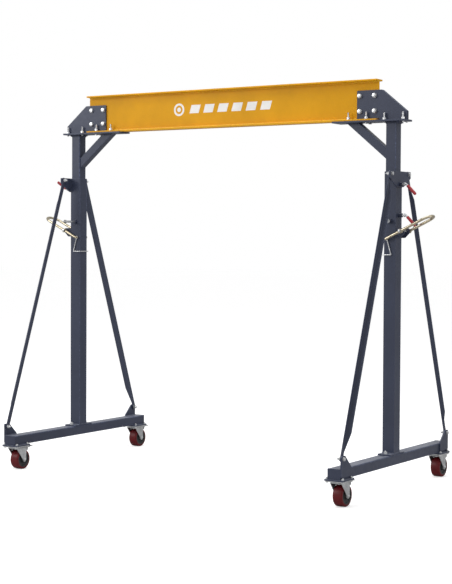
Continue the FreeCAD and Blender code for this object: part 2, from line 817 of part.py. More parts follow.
def beam_bolts():
    pieces = []
    for side, sign in SIDES:
        for i, (station, z) in enumerate(GUSSET_BOLTS):
            web = D["web_thick"] / 2 + D["gusset_thick"]
            pieces.append(hex_bolt(
                "%s_web_bolt_%d" % (side, i), [inboard(sign, station), -web, BEAM_BOTTOM + z],
                "y", 16.0, web * 2, 24.0, 10.0, 13.0, 6.0))
        for i, station in enumerate(STUD_STATIONS):
            for j, y in enumerate((-STUD_Y, STUD_Y)):
                seat = BEAM_BOTTOM + D["flange_thick"] if i < 2 else BEAM_BOTTOM
                part = "%s_head_stud_%d%d" % (side, i, j)
                bottom = HEAD_BOTTOM
                x = inboard(sign, station)
                # the innermost pair is flush below, where the knee brace is welded on
                head = 0.0 if i == 0 else 7.5
                stud = [
                    rod(part + "_shank", (x, y, bottom - head), "z", BOLT,
                        seat - bottom + (head + STUD_REACH)),
                    rod(part + "_washer", (x, y, seat), "z", 22.0, 2.5),
                    hexagon(part + "_nut", (x, y, seat + 2.5), "z", 19.0, 11.0)]
                if head:
                    stud.append(hexagon(
                        part + "_head", (x, y, bottom - head), "z", 19.0, head))
                pieces.append(fuse(part, *stud))
    node("beam_bolts", group("beam_bolts", *pieces))


# --------------------------------------------------------------------------- casters
def caster(side, sign, tag, y_sign):
    part = "%s_%s_" % (side, tag)
    centre = HALF * sign
    swivel_y = CASTER_Y * y_sign
    axle_y = swivel_y + D["caster_trail"]
    half_wide = D["wheel_width"] / 2
    inside = half_wide + 4
    sheet_thick = 4.0
    crown_top = TOP_PLATE_BOTTOM - 7.3
    crown_low = crown_top - sheet_thick
    leg_outline = [
        (swivel_y - 36, crown_low + 1), (swivel_y + 52, crown_low + 1),
        (axle_y + 15, WHEEL_R), (axle_y + 10, WHEEL_R - 10),
        (axle_y - 10, WHEEL_R - 10), (axle_y - 15, WHEEL_R + 1)]
    axle_hole = D["axle_diameter"] + 0.6
    legs = []
    for which, low in (("inner", centre - inside - sheet_thick), ("outer", centre + inside)):
        legs.append(plate(part + which + "_leg", "yz", leg_outline, sheet_thick, low))
        legs.append(rod(
            part + which + "_leg_tip", (low, axle_y, WHEEL_R), "x", 30.0, sheet_thick))
    crown_plate = block(
        part + "crown_plate", (centre - inside - sheet_thick, swivel_y - 36, crown_low),
        (inside * 2 + 2 * sheet_thick, 88.0, sheet_thick))
    crown_disc = rod(part + "crown_disc", (centre, swivel_y, crown_low), "z", 78.0, sheet_thick)
    # two ears behind the legs carry the cross pin of the brake pedal
    hinge_y = swivel_y + (PEDAL_REACH - 62)
    hinge_z = crown_low - 6
    ear_outline = [
        (swivel_y + 48, crown_low + 1), (hinge_y + 8, crown_low - 1),
        (hinge_y + 8, hinge_z - 8), (hinge_y - 10, hinge_z - 12), (swivel_y + 46, hinge_z - 12)]
    ears = []
    for which, low in (("inner", centre - inside - sheet_thick), ("outer", centre + inside)):
        ears.append(plate(
            part + which + "_ear", "yz", ear_outline, sheet_thick, low,
            [(hinge_y, hinge_z, 8.0)]))
    kingpin_hole = rod(part + "kingpin_hole", (centre, swivel_y, crown_low - 6), "z", 15.2, 20.0)
    blank = fuse(part + "crown_blank", crown_plate, crown_disc, *legs, *ears)
    axle_bore = rod(part + "fork_axle_bore", (centre - inside - 6, axle_y, WHEEL_R), "x",
                    axle_hole, inside * 2 + 12)
    node(part + "fork", cut(part + "crown", blank, kingpin_hole, axle_bore))

    bore = rod(part + "core_bore", (centre - half_wide - 4, axle_y, WHEEL_R), "x",
               D["axle_diameter"] + 0.6, D["wheel_width"] + 8)
    rim = rod(part + "rim", (centre - half_wide, axle_y, WHEEL_R), "x",
              CORE_DIAMETER, D["wheel_width"])
    hub = rod(part + "hub", (centre - half_wide - 3, axle_y, WHEEL_R), "x", 34.0,
              D["wheel_width"] + 6)
    dishes = []
    for which, low in (("inner", centre - half_wide - 1), ("outer", centre + half_wide - 9)):
        dish = rod(part + which + "_dish_body", (low, axle_y, WHEEL_R), "x", 82.0, 10.0)
        keep = rod(part + which + "_dish_hub", (low - 1, axle_y, WHEEL_R), "x", 34.0, 12.0)
        dishes.append(cut(part + which + "_dish", dish, keep))
    core = cut(part + "core", fuse(part + "core_blank", rim, hub), bore, *dishes)
    node(part + "wheel_core", core)

    tyre = rod(part + "tyre_body", (centre - half_wide, axle_y, WHEEL_R), "x",
               D["wheel_diameter"], D["wheel_width"])
    tyre_bore = rod(part + "tyre_bore", (centre - half_wide - 1, axle_y, WHEEL_R), "x",
                    CORE_DIAMETER, D["wheel_width"] + 2)
    tread = cut(part + "tyre", tyre, tyre_bore)
    node(part + "tread", tread)

    reach = inside + sheet_thick
    axle_rod = rod(part + "axle_rod", (centre - reach - 2, axle_y, WHEEL_R), "x",
                   D["axle_diameter"], reach * 2 + 10)
    head = hexagon(part + "axle_head", (centre - reach - 7, axle_y, WHEEL_R), "x", 18.0, 7.0)
    nut = hexagon(part + "axle_nut", (centre + reach, axle_y, WHEEL_R), "x", 18.0, 8.0)
    node(part + "axle", fuse(part + "axle_bolt", axle_rod, head, nut))

    # brake pedal: a plate with its shoe, tilting on the cross pin
    pivot = rod(part + "pedal_pivot", (centre - inside - 7, hinge_y, hinge_z), "x", 7.4,
                inside * 2 + 14)
    barrel = rod(part + "pedal_barrel", (centre - inside + 1, hinge_y, hinge_z), "x", 13.0,
                 inside * 2 - 2)
    tongue = plate(
        part + "pedal_plate", "yz",
        [(hinge_y, hinge_z + 6), (hinge_y + 50, hinge_z + 16), (hinge_y + 62, hinge_z + 10),
         (hinge_y + 62, hinge_z + 6), (hinge_y + 50, hinge_z + 11), (hinge_y, hinge_z + 1)],
        inside * 2 - 2, centre - inside + 1)
    shoe = plate(
        part + "pedal_shoe", "yz",
        [(hinge_y + 5, hinge_z + 4), (hinge_y + 20, hinge_z + 7), (hinge_y + 19, hinge_z - 10),
         (hinge_y + 11, hinge_z - 8)],
        inside * 2 - 10, centre - inside + 5)
    node(part + "brake_pedal", fuse(part + "pedal", pivot, barrel, tongue, shoe))


# ------------------------------------------------------------------ levers and links
LEVER_RISE = math.radians(26.0)
LEVER_INNER = -104.0
LEVER_OUTER = 140.0


def lever(side, sign):
    """U-shaped hand lever bent from round bar, turning on the pivot between the lugs."""
    name = side + "_lever"
    pivot_x = HALF * sign + LEVER_OUT * sign
    pivot_z = LEVER_Z
    half = LEVER_HALF
    bar = D["lever_bar"]
    turn = Rotation(Vector(0, 0, 1), 0 if sign > 0 else 180)
    lift = Rotation(Vector(0, 1, 0), -math.degrees(LEVER_RISE))
    pieces = []
    for tag, y_sign in (("near", -1), ("far", 1)):
        arm = rod("%s_%s_arm" % (name, tag), (LEVER_INNER, half * y_sign, 0), "x", bar,
                  LEVER_OUTER - LEVER_INNER)
        tip = ball("%s_%s_tip" % (name, tag), (LEVER_INNER, half * y_sign, 0), bar)
        bush = rod("%s_%s_bush" % (name, tag), (0, half * y_sign - 9, 0), "y", 26.0, 18.0)
        pieces += [arm, tip, bush]
    ring = doc.addObject("Part::Torus", name + "_bend")
    bind(ring, "Radius1", half)
    bind(ring, "Radius2", bar / 2)
    ring.Angle3 = 180
    place(ring, LEVER_OUTER, 0, 0, Rotation(Vector(0, 0, 1), -90))
    pieces.append(ring)
    stub_tip = OUTER / 2 + 1.5
    for tag, low in (("near", -half), ("far", stub_tip)):
        pieces.append(rod(
            "%s_%s_stub" % (name, tag), (LEVER_INNER, low, 0), "y", 10.0, half - stub_tip))
    blank = fuse(name + "_blank", *pieces)
    bore = rod(name + "_bore", (0, -half - 12, 0), "y", 10.6, half * 2 + 24)
    bent = cut(name + "_bent", blank, bore)
    placed = group(name, bent)
    place(placed, pivot_x, 0, pivot_z, turn.multiply(lift))
    node(name, placed)


def link(side, sign):
    """Bent rod stirrup that hangs from the lever's cross bar, astride the column."""
    name = side + "_link"
    pivot_x = HALF * sign + LEVER_OUT * sign
    pivot_z = LEVER_Z
    eye_out = LEVER_INNER * math.cos(LEVER_RISE)
    eye_z = LEVER_INNER * math.sin(LEVER_RISE)
    wire = 6.0
    eye_y = OUTER / 2 + 5.6
    knee_out = eye_out + 28
    toe_out = -LEVER_OUT - OUTER / 2 - wire / 2 - 3
    drop = eye_z - 92
    pieces = []

    def at(out, y, down):
        return (pivot_x + size(out) * sign, y, pivot_z + down)

    for tag, y_sign in (("near", -1), ("far", 1)):
        y = eye_y * y_sign
        part = "%s_%s_" % (name, tag)
        eye = rod(part + "eye_body", at(eye_out, y - 2.5, eye_z), "y", 20.0, 5.0)
        hole = rod(part + "eye_hole", at(eye_out, y - 3.5, eye_z), "y", 10.6, 7.0)
        knee = at(knee_out, y, drop)
        toe = at(toe_out, y, drop)
        pieces += [
            cut(part + "eye", eye, hole),
            rod_between(part + "rod", at(eye_out + 3, y, eye_z - 8), knee, wire),
            ball(part + "knee", knee, wire),
            rod_between(part + "foot", knee, toe, wire),
            ball(part + "toe", toe, wire)]
    pieces.append(rod_between(
        name + "_bar", at(toe_out, -eye_y, drop), at(toe_out, eye_y, drop), wire))
    node(name, fuse(name + "_bent", *pieces))


# ------------------------------------------------------------------------------ pins
def lock_pin(side, sign, tag, z, reach, roll):
    """Spring lock pin: straight shank, 45 degree tail and a moulded grip.

    Roll turns the tail about the shank: 0 points it up, 180 down.
    """
    name = "%s_%s_lock_pin" % (side, tag)
    half = OUTER / 2
    bend = half + reach
    bar = D["pin_diameter"]
    low, length = across(sign, INNER / 2 + 0.8, bend)
    centre = HALF * sign
    shank = rod(name + "_shank", (low, 0, z), "x", bar, length)
    collar_low = across(sign, half + 35, half + 41)[0]
    collar = rod(name + "_collar", (collar_low, 0, z), "x", 20.0, 6.0)
    up = math.cos(math.radians(roll))
    aside = -math.sin(math.radians(roll))

    def along_tail(distance):
        step = distance / math.sqrt(2.0)
        return (centre + (bend + step) * sign, size(step * aside), z + step * up)

    elbow = along_tail(0.0)
    tail = rod_between(name + "_tail", elbow, along_tail(28.0), 10.0)
    pin = fuse(name + "_bar", shank, collar, ball(name + "_elbow", elbow, bar), tail)
    node(name, group(name + "_whole", pin))

    grip_name = "%s_%s_pin_grip" % (side, tag)
    finish = along_tail(78.0)
    sleeve = rod_between(grip_name + "_sleeve", along_tail(13.0), finish, 18.0)
    dome = ball(grip_name + "_dome", finish, 18.0)
    node(grip_name, cut(grip_name + "_moulding", fuse(grip_name + "_solid", sleeve, dome), pin))


CROSS_PIN_LENGTH = {"left": 104.0, "right": 25.0}


def cross_pin(side, sign):
    """Load pin that pushes through both tubes from the front, with a pull ring end."""
    name = side + "_cross_pin"
    centre = HALF * sign
    z = CROSS_PIN_Z
    tip = -INNER / 2 - 0.8
    length = CROSS_PIN_LENGTH[side]
    bar = rod(name + "_bar", (centre, tip - length, z), "y", D["cross_pin_diameter"], length)
    cap = rod(name + "_cap", (centre, tip - length - 6, z), "y", 24.0, 6.0)
    pieces = [bar, cap]
    if length > 50:
        ring = doc.addObject("Part::Torus", name + "_ring")
        bind(ring, "Radius1", 13.0)
        bind(ring, "Radius2", 2.2)
        place(ring, centre, tip - length - 6 - 12, z)
        pieces.append(ring)
    node(name, fuse(name + "_pin", *pieces))


# ------------------------------------------------------------------------- assembly
for side, sign in SIDES:
    base_beam(side, sign)
    base_plates(side, sign)
    outer_column(side, sign)
    column_wings(side, sign)
    brace(side, sign, "near", -1)
    brace(side, sign, "far", 1)
    column_brackets(side, sign)
    caster_tops(side, sign)
    frame_bolts(side, sign)
    inner_column(side, sign)
    head_plate(side, sign)
    gussets(side, sign)
    knee_brace(side, sign)
    lever(side, sign)
    link(side, sign)
    cross_pin(side, sign)
    for tag, y_sign in (("near", -1), ("far", 1)):
        caster(side, sign, tag, y_sign)
top_beam()
beam_bolts()
lock_pin("left", -1, "upper", PIN_UPPER_Z, 60.0, 28.0)
lock_pin("right", 1, "upper", PIN_UPPER_Z, 46.0, 180.0)
lock_pin("right", 1, "lower", PIN_LOWER_Z, 46.0, 180.0)

doc.recompute()

# the origin lies on the floor below the middle of the whole outline, pedals included
for label, obj in NODES:
    start = obj.Placement.Base.y
    bind(obj, "Placement.Base.y", ORIGIN_SHIFT + start)
doc.recompute()

# ---------------------------------------------------------------- checks and export
for obj in doc.Objects:
    if "Invalid" in obj.State or "Error" in obj.State:
        raise RuntimeError("%s did not compute: %s" % (obj.Name, obj.State))
    shape = getattr(obj, "Shape", None)
    if shape is not None and not obj.isDerivedFrom("App::OriginFeature"):
        if not shape.isNull() and not shape.isValid():
            raise RuntimeError("%s has a bad shape" % obj.Name)

os.makedirs("parts", exist_ok=True)
for label, obj in NODES:
    if obj.Shape.isNull() or not obj.Shape.Solids:
        raise RuntimeError(label + " holds no solid")
    obj.Shape.exportStep("parts/%s.step" % label)
print("%d sub-parts written" % len(NODES))
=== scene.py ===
import json
import math

import bmesh
import bpy
from mathutils import Matrix, Vector

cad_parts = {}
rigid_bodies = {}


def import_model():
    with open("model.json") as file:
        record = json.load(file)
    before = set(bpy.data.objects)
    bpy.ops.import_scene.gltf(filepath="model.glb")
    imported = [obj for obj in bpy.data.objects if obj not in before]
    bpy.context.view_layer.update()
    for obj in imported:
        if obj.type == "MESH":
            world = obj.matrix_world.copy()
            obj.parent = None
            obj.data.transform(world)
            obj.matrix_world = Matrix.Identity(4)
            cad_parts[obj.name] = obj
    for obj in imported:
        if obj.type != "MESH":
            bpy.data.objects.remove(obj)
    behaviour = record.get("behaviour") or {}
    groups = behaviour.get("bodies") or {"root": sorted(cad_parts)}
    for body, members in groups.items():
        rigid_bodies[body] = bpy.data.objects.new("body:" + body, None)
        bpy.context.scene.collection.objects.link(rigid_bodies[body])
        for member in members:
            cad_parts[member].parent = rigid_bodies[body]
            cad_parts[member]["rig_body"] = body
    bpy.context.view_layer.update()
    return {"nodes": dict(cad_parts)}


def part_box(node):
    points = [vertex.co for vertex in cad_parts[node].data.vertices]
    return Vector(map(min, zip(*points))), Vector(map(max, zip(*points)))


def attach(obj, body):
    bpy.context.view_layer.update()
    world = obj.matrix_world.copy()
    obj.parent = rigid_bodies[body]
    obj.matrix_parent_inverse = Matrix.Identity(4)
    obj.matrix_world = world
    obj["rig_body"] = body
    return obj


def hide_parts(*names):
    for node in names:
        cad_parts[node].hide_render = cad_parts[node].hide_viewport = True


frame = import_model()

SIDES = {"left": -1, "right": 1}
TAGS = ("near", "far")
WAYS = (-1, 1)

# sizes shared with the frame, in metres
COLUMN_Y = -0.026
COLUMN_HALF = 0.0375
BASE_HALF = 0.040
KNEE_HALF = 0.025
TREAD_DEPTH = 0.014
CASTER_TRAIL = 0.036


# ------------------------------------------------------------------------- materials
class Look:
    """A procedural material built up step by step on its Principled shader."""

    def __init__(self, name, metallic=0.0, specular=0.5, coat=0.0, coat_roughness=0.15):
        self.mat = bpy.data.materials.new(name)
        self.mat.use_nodes = True
        self.tree = self.mat.node_tree
        self.shader = self.tree.nodes["Principled BSDF"]
        self.shader.inputs["Metallic"].default_value = metallic
        self.shader.inputs["Specular IOR Level"].default_value = specular
        self.shader.inputs["Coat Weight"].default_value = coat
        self.shader.inputs["Coat Roughness"].default_value = coat_roughness
        self.place = self.tree.nodes.new("ShaderNodeTexCoord").outputs["Object"]
        self.normal = None

    def put(self, kind, **inputs):
        item = self.tree.nodes.new(kind)
        for key, value in inputs.items():
            socket = item.inputs[key.replace("_", " ")]
            if isinstance(value, bpy.types.NodeSocket):
                self.tree.links.new(value, socket)
            else:
                socket.default_value = value
        return item

    def stretched(self, scale):
        item = self.put("ShaderNodeMapping", Vector=self.place)
        item.inputs["Scale"].default_value = scale
        return item.outputs["Vector"]

    def noise(self, scale, detail=3.0, roughness=0.55, distortion=0.0, vector=None):
        item = self.put(
            "ShaderNodeTexNoise", Vector=vector or self.place, Scale=scale, Detail=detail,
            Roughness=roughness, Distortion=distortion)
        return item.outputs["Fac"]

    def ramp(self, value, stops):
        """Colour ramp; stops are (position, colour or grey)."""
        item = self.put("ShaderNodeValToRGB", Fac=value)
        line = item.color_ramp
        while len(line.elements) < len(stops):
            line.elements.new(0.5)
        for element, (position, colour) in zip(line.elements, stops):
            element.position = position
            if not hasattr(colour, "__len__"):
                colour = (colour,) * 3
            element.color = (*colour, 1.0)
        return item.outputs["Color"]

    def spread(self, value, low, high, low_in=0.25, high_in=0.75):
        item = self.put("ShaderNodeMapRange", Value=value)
        for key, number in (("From Min", low_in), ("From Max", high_in),
                            ("To Min", low), ("To Max", high)):
            item.inputs[key].default_value = number
        return item.outputs["Result"]

    def mix(self, amount, first, second, blend="MIX"):
        item = self.tree.nodes.new("ShaderNodeMix")
        item.data_type = "RGBA"
        item.blend_type = blend
        for index, value in ((0, amount), (6, first), (7, second)):
            if isinstance(value, bpy.types.NodeSocket):
                self.tree.links.new(value, item.inputs[index])
            elif index == 0:
                item.inputs[index].default_value = value
            else:
                item.inputs[index].default_value = (*value, 1.0)
        return item.outputs[2]

    def facing_up(self):
        """1 on surfaces that look up, where dust settles and where a lighter top shade is
        painted.
        """
        normal = self.tree.nodes.new("ShaderNodeNewGeometry").outputs["Normal"]
        split = self.put("ShaderNodeSeparateXYZ", Vector=normal)
        return self.spread(split.outputs["Z"], 0.0, 1.0, 0.55, 0.95)

    def times(self, first, second):
        item = self.tree.nodes.new("ShaderNodeMath")
        item.operation = "MULTIPLY"
        for index, value in enumerate((first, second)):
            if isinstance(value, bpy.types.NodeSocket):
                self.tree.links.new(value, item.inputs[index])
            else:
                item.inputs[index].default_value = value
        return item.outputs[0]

    def bump(self, height, distance, strength=0.5):
        item = self.put("ShaderNodeBump", Height=height, Distance=distance, Strength=strength)
        if self.normal is not None:
            self.tree.links.new(self.normal, item.inputs["Normal"])
        self.normal = item.outputs["Normal"]
        self.tree.links.new(self.normal, self.shader.inputs["Normal"])

    def colour(self, socket):
        self.tree.links.new(socket, self.shader.inputs["Base Color"])

    def rough(self, socket):
        self.tree.links.new(socket, self.shader.inputs["Roughness"])


def shade(colour, factor):
    return tuple(min(1.0, c * factor) for c in colour)


def powder_coat(name, colour, chips=0.0, dust=0.25, rough=(0.34, 0.5), shine=0.35):
    """Sprayed and baked paint: orange peel, cloudy tone, fine scuffs, and settled dust that
    also paints light from above onto upward faces as a lighter bluish tone.
    """
    look = Look(name, specular=shine, coat=shine / 6, coat_roughness=0.3)
    cloud = look.noise(2.6, 5.0, 0.6)
    tone = look.ramp(cloud, [(0.3, shade(colour, 0.84)), (0.7, shade(colour, 1.14))])
    grain = look.noise(240.0, 2.0, 0.5)
    tone = look.mix(look.spread(grain, 0.0, 0.22), tone, shade(colour, 1.35))
    scuff = look.noise(1.0, 4.0, 0.6, 0.6, look.stretched((26.0, 26.0, 420.0)))
    marks = look.ramp(scuff, [(0.66, 0.0), (0.72, 1.0)])
    patch = look.ramp(look.noise(5.0, 2.0), [(0.52, 0.0), (0.66, 1.0)])
    tone = look.mix(look.times(look.times(marks, patch), 0.35), tone, shade(colour, 2.0))
    dust_and_top_light = look.times(look.facing_up(), look.spread(look.noise(14.0, 5.0, 0.65), 0.2, 1.0))
    # upward faces are mixed toward a pale bluish grey: partly settled dust, partly a painted
    # highlight from the light above
    tone = look.mix(look.times(dust_and_top_light, dust), tone, (0.48, 0.51, 0.60))
    if chips:
        spots = look.ramp(look.noise(95.0, 3.0, 0.6), [(0.5, 0.0), (0.6, 1.0)])
        tone = look.mix(look.times(spots, chips), tone, shade(colour, 2.6))
    look.colour(tone)
    look.rough(look.spread(look.noise(38.0, 4.0, 0.6), *rough))
    look.bump(look.noise(520.0, 2.0, 0.5), 0.00025, 0.35)
    look.bump(look.noise(30.0, 3.0, 0.5), 0.0006, 0.25)
    return look.mat


def plated(name, bright, dull, tint=None, rough=(0.24, 0.46)):
    """Zinc plated steel: cloudy passivation, fine brush lines, duller in places."""
    look = Look(name, metallic=1.0)
    cloud = look.noise(34.0, 5.0, 0.65, 0.4)
    tone = look.ramp(cloud, [(0.32, dull), (0.62, bright)])
    if tint:
        tone = look.mix(look.spread(look.noise(52.0, 2.0, 0.5), 0.0, 0.55), tone, tint)
    speck = look.ramp(look.noise(330.0, 3.0, 0.6), [(0.62, 0.0), (0.74, 1.0)])
    tone = look.mix(look.times(speck, 0.35), tone, shade(dull, 0.45))
    look.colour(tone)
    look.rough(look.spread(look.noise(60.0, 4.0, 0.6), *rough))
    brushed = look.stretched((900.0, 900.0, 140.0))
    look.bump(look.noise(1.0, 2.0, 0.5, 0.0, brushed), 0.0001, 0.35)
    look.bump(look.noise(180.0, 3.0, 0.5), 0.0002, 0.3)
    return look.mat


def moulded(name, colour, dirt, rough, grain, coat=0.0, dirt_amount=0.5, specular=0.45):
    """Moulded plastic or polyurethane with grain, scuffs and ground-in dirt."""
    look = Look(name, specular=specular, coat=coat, coat_roughness=0.25)
    tone = look.ramp(look.noise(30.0, 4.0, 0.6),
                     [(0.3, shade(colour, 0.8)), (0.7, shade(colour, 1.2))])
    dust = look.ramp(look.noise(70.0, 6.0, 0.7, 0.5), [(0.50, 0.0), (0.72, 1.0)])
    tone = look.mix(look.times(dust, dirt_amount), tone, dirt)
    look.colour(tone)
    look.rough(look.spread(look.noise(90.0, 5.0, 0.65), *rough))
    look.bump(look.noise(grain, 3.0, 0.6), 0.0004, 0.35)
    look.bump(look.noise(46.0, 3.0, 0.5), 0.0008, 0.2)
    return look.mat


FRAME_BLUE = (0.038, 0.046, 0.080)
AMBER = (0.70, 0.335, 0.003)
# dust also sets how strongly the painted top light lightens the upward faces
frame_paint = powder_coat("frame_paint_coat", FRAME_BLUE, dust=0.45)
# lighter copy of the frame paint for the rounded edges: chipped wear plus a painted edge
# highlight
frame_edge_wear_and_highlight = powder_coat("frame_paint_worn_and_lit_edge", shade(FRAME_BLUE, 1.35), chips=0.5, dust=0.2)
beam_paint = powder_coat("beam_paint_coat", AMBER, dust=0.10, rough=(0.42, 0.56), shine=0.14)
# lighter copy of the beam paint for the rounded edges: chipped wear plus a painted edge
# highlight
beam_edge_wear_and_highlight = powder_coat("beam_paint_worn_and_lit_edge", shade(AMBER, 1.18), chips=0.25, dust=0.1)
zinc = plated("zinc_plating", (0.80, 0.81, 0.82), (0.56, 0.57, 0.58))
zinc_dull = plated("zinc_pressed_sheet", (0.66, 0.67, 0.68), (0.42, 0.43, 0.44),
                   rough=(0.34, 0.56))
# darker grey zinc, used only for the right cross pin
zinc_grey = plated("zinc_dark_grey", (0.34, 0.35, 0.37), (0.20, 0.21, 0.22),
                   rough=(0.36, 0.56))
yellow_zinc = plated("yellow_zinc_plating", (0.66, 0.61, 0.48), (0.36, 0.31, 0.21),
                     tint=(0.52, 0.42, 0.27), rough=(0.18, 0.36))
core_black = moulded("core_nylon", (0.018, 0.018, 0.020), (0.12, 0.115, 0.11),
                     (0.38, 0.62), 420.0, dirt_amount=0.35)
tread_red = moulded("tread_polyurethane", (0.125, 0.004, 0.007), (0.060, 0.018, 0.018),
                    (0.36, 0.56), 300.0, coat=0.04, dirt_amount=0.3, specular=0.28)
grip_red = moulded("grip_vinyl", (0.40, 0.020, 0.030), (0.20, 0.05, 0.05),
                   (0.24, 0.40), 260.0, coat=0.3, dirt_amount=0.3)
white_mark = powder_coat("mark_white", (0.86, 0.85, 0.82), dust=0.0, rough=(0.4, 0.55))

LOOKS = {
    "frame_paint": (frame_paint, frame_edge_wear_and_highlight),
    "beam_paint": (beam_paint, beam_edge_wear_and_highlight),
    "zinc": (zinc, zinc),
    "zinc_sheet": (zinc_dull, zinc),
    "zinc_grey": (zinc_grey, zinc_dull),
    "yellow_zinc": (yellow_zinc, yellow_zinc),
    "core_black": (core_black, core_black),
    "tread_red": (tread_red, tread_red),
    "grip_red": (grip_red, grip_red),
}


# --------------------------------------------------------------------- mesh building
def add_piece(name, mesh, body, looks, replaced=()):
    obj = bpy.data.objects.new(name, mesh)
    bpy.context.scene.collection.objects.link(obj)
    for look in looks:
        mesh.materials.append(look)
    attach(obj, body)
    if replaced:
        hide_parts(*replaced)
    return obj


def finish_edges(bm, limit=0.62):
    """Smooth faces, with sharp edges where two faces meet at more than the limit."""
    for face in bm.faces:
        face.smooth = True
    for edge in bm.edges:
        if len(edge.link_faces) == 2 and edge.calc_face_angle(0.0) > limit:
            edge.smooth = False


class Solid:
    """Collects turned, threaded and swept forms into one mesh."""

    def __init__(self):
        self.points = []
        self.faces = []

    def grid(self, rows, closed_rows=False, caps=True):
        """Rings of equal length joined into a skin."""
        start = len(self.points)
        count = len(rows[0])
        for row in rows:
            self.points.extend(row)
        total = len(rows)
        for i in range(total if closed_rows else total - 1):
            a = start + i * count
            b = start + ((i + 1) % total) * count
            for j in range(count):
                k = (j + 1) % count
                self.faces.append((a + j, a + k, b + k, b + j))
        if caps and not closed_rows:
            self.faces.append(tuple(start + j for j in reversed(range(count))))
            end = start + (total - 1) * count
            self.faces.append(tuple(end + j for j in range(count)))

    def turned(self, place, profile, segments=32, caps=True, loop=False):
        """Profile of (along, radius); either may be a function of the angle."""
        rows = []
        for along, radius in profile:
            row = []
            for j in range(segments):
                angle = 2 * math.pi * j / segments
                r = radius(angle) if callable(radius) else radius
                z = along(angle) if callable(along) else along
                row.append(place @ Vector((r * math.cos(angle), r * math.sin(angle), z)))
            rows.append(row)
        self.grid(rows, closed_rows=loop, caps=caps)

    def nut(self, place, low, high, flats):
        """Chamfered hexagon."""
        half = flats / 2

        def reach(angle):
            wedge = (angle % (math.pi / 3)) - math.pi / 6
            return half / math.cos(wedge)

        def drop(angle):
            return (reach(angle) - half * 0.97) * 0.55

        self.turned(place, [
            (low, half * 0.94),
            (lambda a: low + drop(a), reach),
            (lambda a: high - drop(a), reach),
            (high, half * 0.94)], 36)

    def washer(self, place, low, high, diameter):
        r = diameter / 2
        e = min(0.0004, (high - low) / 3)
        self.turned(place, [(low, r - e), (low + e, r), (high - e, r), (high, r - e)], 32)

    def thread(self, place, low, high, diameter, pitch=0.00175):
        """Threaded end with a chamfered tip at the high side."""
        r = diameter / 2
        depth = pitch * 0.42
        steps = max(2, int(abs(high - low) / (pitch / 4)))
        profile = []
        for i in range(steps + 1):
            z = low + (high - low) * i / steps
            tip = max(0.0, 1.2 * pitch - abs(high - z)) * 0.7

            def radius(angle, z=z, tip=tip):
                phase = (abs(z) / pitch - angle / (2 * math.pi)) % 1.0
                return r - depth * abs(2 * phase - 1) - tip
            profile.append((z, radius))
        self.turned(place, profile, 18)

    def rod(self, place, low, high, diameter, chamfer=0.0008):
        r = diameter / 2
        c = math.copysign(chamfer, high - low)
        self.turned(place, [
            (low, r - abs(c)), (low + c, r), (high - c, r), (high, r - abs(c))], 28)

    def bead(self, path, radius, closed=False, pitch=0.005):
        """Rippled weld bead along a path of points."""
        corners = [Vector(p) for p in path]
        if closed:
            corners.append(corners[0])
        samples = []
        for a, b in zip(corners, corners[1:]):
            steps = max(2, int((b - a).length / (pitch / 2)))
            samples += [a.lerp(b, i / steps) for i in range(steps)]
        if not closed:
            samples.append(corners[-1])
        count = len(samples)
        rows = []
        for i, point in enumerate(samples):
            before = samples[i - 1] if (i or closed) else point
            after = samples[(i + 1) % count] if (i < count - 1 or closed) else point
            along = (after - before).normalized()
            side = along.cross(Vector((0.31, 0.52, 0.79))).normalized()
            lift = along.cross(side)
            wobble = 1 + 0.10 * math.sin(i * 0.9) * math.sin(i * 0.23)
            r = radius * (1.0 if i % 2 else 0.80) * wobble
            if not closed and i in (0, count - 1):
                r *= 0.5
            rows.append([
                point + (side * math.cos(a) + lift * math.sin(a)) * r
                for a in (2 * math.pi * j / 8 for j in range(8))])
        self.grid(rows, closed_rows=closed)

    def mesh(self, name, limit=0.62):
        mesh = bpy.data.meshes.new(name)
        mesh.from_pydata([tuple(p) for p in self.points], [], self.faces)
        bm = bmesh.new()
        bm.from_mesh(mesh)
        bmesh.ops.recalc_face_normals(bm, faces=bm.faces)
        finish_edges(bm, limit)
        bm.to_mesh(mesh)
        bm.free()
        return mesh


def along_axis(axis, centre, sign=1):
    """Placement whose local Z runs along X, Y or Z from a centre."""
    direction = Vector([sign if c == axis else 0 for c in "xyz"])
    turn = Vector((0, 0, 1)).rotation_difference(direction).to_matrix().to_4x4()
    return Matrix.Translation(Vector(centre)) @ turn


def clean_copy(node):
    """Editable copy of a CAD node's mesh, with its flat faces made whole again."""
    bm = bmesh.new()
    bm.from_mesh(frame["nodes"][node].data)
    bmesh.ops.remove_doubles(bm, verts=bm.verts, dist=4e-6)
    bmesh.ops.dissolve_limit(
        bm, angle_limit=0.008, use_dissolve_boundaries=False, verts=bm.verts, edges=bm.edges)
    return bm


def islands(node):
    """(lowest, highest) corners of every separate solid of a node."""
    bm = bmesh.new()
    bm.from_mesh(frame["nodes"][node].data)
    bmesh.ops.remove_doubles(bm, verts=bm.verts, dist=4e-6)
    found = []
    left = set(bm.verts)
    while left:
        seed = left.pop()
        stack = [seed]
        low = seed.co.copy()
        high = seed.co.copy()
        while stack:
            for edge in stack.pop().link_edges:
                for vert in edge.verts:
                    if vert in left:
                        left.discard(vert)
                        stack.append(vert)
                        for k in range(3):
                            low[k] = min(low[k], vert.co[k])
                            high[k] = max(high[k], vert.co[k])
        found.append((low, high))
    bm.free()
    return found


